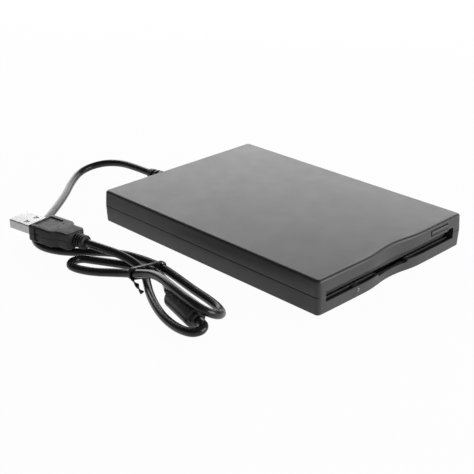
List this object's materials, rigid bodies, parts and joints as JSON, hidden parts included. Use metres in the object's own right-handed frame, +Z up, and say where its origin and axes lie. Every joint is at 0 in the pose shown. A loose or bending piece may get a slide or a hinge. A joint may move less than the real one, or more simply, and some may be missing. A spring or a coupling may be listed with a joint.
{
  "type": "external floppy disk drive",
  "caption": "Slim portable floppy disk drive: two-shell black case, disk slot with thumb notch, eject button, activity lamp, captive bundled cord with ferrite bead and flat plug.",
  "frame": {"origin": "centre of the casing in plan, at the underside of the rubber feet", "axes": "+Z up; the disk slot faces -Y; the cord leaves the back, +Y; +X is the right-hand side seen from the slot"},
  "size_m": [0.1528, 0.2005, 0.017],
  "materials": {
    "case_black": "fine moulded texture, black",
    "button_grey": "smooth matte, dark grey",
    "foot_rubber": "matt soft rubber",
    "relief_rubber": "flexible moulded PVC",
    "cord_jacket": "glossy black PVC",
    "bead_moulding": "semi-gloss black moulding",
    "ferrite": "sintered dark grey",
    "tie_plastic": "black coated twist tie",
    "plug_plastic": "matte dark grey overmould",
    "nickel_shell": "bright nickel plate",
    "white_plastic": "white nylon",
    "gold_contact": "gold flash plate",
    "clear_pipe": "clear moulded light pipe",
    "lamp_resin": "green lamp resin",
    "zinc_steel": "zinc plated sheet steel",
    "screw_black": "black oxide",
    "spring_steel": "spring wire and strip",
    "door_plastic": "black acetal",
    "bearing_brass": "sintered bronze",
    "coil_copper": "enamelled copper wire",
    "rotor_steel": "turned, plated",
    "hub_magnet_ferrite": "brown rubber-bonded magnet",
    "motor_can": "drawn can",
    "carriage_resin": "glass-filled black resin",
    "head_ferrite": "polished",
    "plunger_white": "white acetal",
    "board_green": "solder-masked glass epoxy",
    "chip_black": "epoxy package",
    "crystal_can": "nickel can",
    "capacitor_sleeve": "heat-shrink sleeve",
    "lead_insulation": "PVC insulation",
    "ribbon_film": "polyester flat cable",
    "standoff_plastic": "moulded with the bottom cover, black"
  },
  "bodies": {
    "casing": {"top_cover": "case_black", "bottom_cover": "case_black", "rubber_feet": "foot_rubber", "case_screws": "screw_black", "led_light_pipe": "clear_pipe", "cord_strain_relief": "relief_rubber", "slide_springs": "spring_steel", "door_spring": "spring_steel", "drive_frame": "zinc_steel", "drive_cover_plate": "zinc_steel", "frame_screws": "screw_black", "spindle_bush": "bearing_brass", "spindle_coils": "coil_copper", "stepper_motor": "motor_can", "guide_rod": "rotor_steel", "track_zero_sensor": "carriage_resin", "control_board": "board_green", "control_chips": "chip_black", "detector_switches": "carriage_resin", "activity_lamp": "lamp_resin", "rear_socket": "white_plastic", "ribbon_cable": "ribbon_film", "interface_board": "board_green", "board_standoffs": "standoff_plastic", "bridge_chip": "chip_black", "clock_crystal": "crystal_can", "board_capacitors": "capacitor_sleeve", "board_socket": "white_plastic", "cord_header": "white_plastic", "cord_leads": "lead_insulation", "usb_cord": "cord_jacket", "ferrite_moulding": "bead_moulding", "ferrite_core": "ferrite", "cord_tie": "tie_plastic", "plug_overmould": "plug_plastic", "plug_shell": "nickel_shell", "plug_tongue": "white_plastic", "plug_contacts": "gold_contact"},
    "eject_slide": {"eject_button": "button_grey", "eject_slide": "zinc_steel"},
    "disk_carrier": {"disk_carrier": "zinc_steel", "lever_spring": "spring_steel"},
    "shutter_lever": {"shutter_lever": "door_plastic"},
    "dust_door": {"dust_door": "door_plastic"},
    "spindle": {"spindle_rotor": "rotor_steel", "hub_magnet": "hub_magnet_ferrite", "hub_drive_pin": "rotor_steel"},
    "head_carriage": {"head_carriage": "carriage_resin", "lower_head": "head_ferrite"},
    "lead_screw": {"lead_screw": "rotor_steel"},
    "head_arm": {"upper_head_arm": "carriage_resin", "upper_head": "head_ferrite", "head_load_spring": "spring_steel"},
    "protect_plunger": {"protect_plunger": "plunger_white"},
    "disk_plunger": {"disk_plunger": "plunger_white"},
    "density_plunger": {"density_plunger": "plunger_white"}
  },
  "joints": [
    {"name": "eject_slide_travel", "type": "slide", "parent": "casing", "child": "eject_slide", "axis": [0, -1, 0], "range_m": [0, 0.005]},
    {"name": "disk_carrier_drop", "type": "slide", "parent": "casing", "child": "disk_carrier", "axis": [0, 0, -1], "range_m": [0, 0.0016]},
    {"name": "shutter_lever_swing", "type": "hinge", "parent": "disk_carrier", "child": "shutter_lever", "pos_m": [-0.037, 0.0393, 0.0113], "axis": [0, 0, 1], "range_deg": [0, 55], "stiffness_Nm_per_rad": 0.0004},
    {"name": "dust_door_swing", "type": "hinge", "parent": "casing", "child": "dust_door", "pos_m": [-0.001, -0.0661, 0.0111], "axis": [1, 0, 0], "range_deg": [0, 88], "stiffness_Nm_per_rad": 0.0002},
    {"name": "spindle_turn", "type": "hinge", "parent": "casing", "child": "spindle", "pos_m": [-0.001, -0.018, 0.0045], "axis": [0, 0, 1], "continuous": true},
    {"name": "head_carriage_travel", "type": "slide", "parent": "casing", "child": "head_carriage", "axis": [0, -1, 0], "range_m": [0, 0.0148]},
    {"name": "lead_screw_turn", "type": "hinge", "parent": "casing", "child": "lead_screw", "pos_m": [0.013, 0.04, 0.0084], "axis": [0, 1, 0], "range_deg": [0, 1777]},
    {"name": "head_arm_swing", "type": "hinge", "parent": "head_carriage", "child": "head_arm", "pos_m": [-0.001, 0.052, 0.0118], "axis": [1, 0, 0], "range_deg": [0, 6.2]},
    {"name": "protect_plunger_press", "type": "slide", "parent": "casing", "child": "protect_plunger", "axis": [0, 0, -1], "range_m": [0, 0.001], "stiffness_N_per_m": 100},
    {"name": "disk_plunger_press", "type": "slide", "parent": "casing", "child": "disk_plunger", "axis": [0, 0, -1], "range_m": [0, 0.001], "stiffness_N_per_m": 100},
    {"name": "density_plunger_press", "type": "slide", "parent": "casing", "child": "density_plunger", "axis": [0, 0, -1], "range_m": [0, 0.001], "stiffness_N_per_m": 100}
  ],
  "couplings": [
    {"joint": "disk_carrier_drop", "follows": "eject_slide_travel", "ratio": 0.32},
    {"joint": "head_arm_swing", "follows": "eject_slide_travel", "rad_per_m": 21.6},
    {"joint": "lead_screw_turn", "follows": "head_carriage_travel", "rad_per_m": 2094.4}
  ]
}
